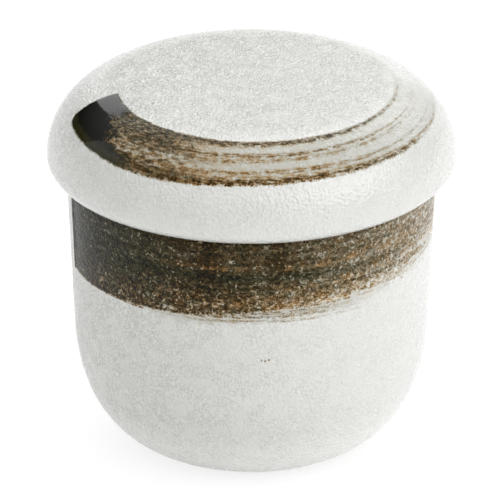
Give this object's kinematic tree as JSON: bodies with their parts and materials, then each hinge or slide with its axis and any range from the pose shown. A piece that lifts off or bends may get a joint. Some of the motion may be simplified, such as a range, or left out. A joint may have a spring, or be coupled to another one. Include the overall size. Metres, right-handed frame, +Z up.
{
  "type": "lidded stew pot",
  "caption": "Round stoneware stew pot with a hollow mushroom-shaped lid that rests on the rim and locates in the mouth by a flange.",
  "frame": {"origin": "centre of the base, on the table plane", "axes": "+Z up along the axis of turning, -Y towards the picture's viewer, +X to the viewer's right"},
  "size_m": [0.105, 0.105, 0.0984],
  "materials": {
    "pot_glaze": "white pitted glaze with a brushed iron-brown band under the rim",
    "lid_glaze": "white pitted glaze with a brushed iron-brown stroke round the shoulder"
  },
  "bodies": {
    "pot": {"pot": "pot_glaze"},
    "lid": {"lid": "lid_glaze"}
  },
  "joints": [
    {"name": "lid_lift", "type": "slide", "parent": "pot", "child": "lid", "axis": [0, 0, 1], "range_m": [0, 0.12]}
  ]
}
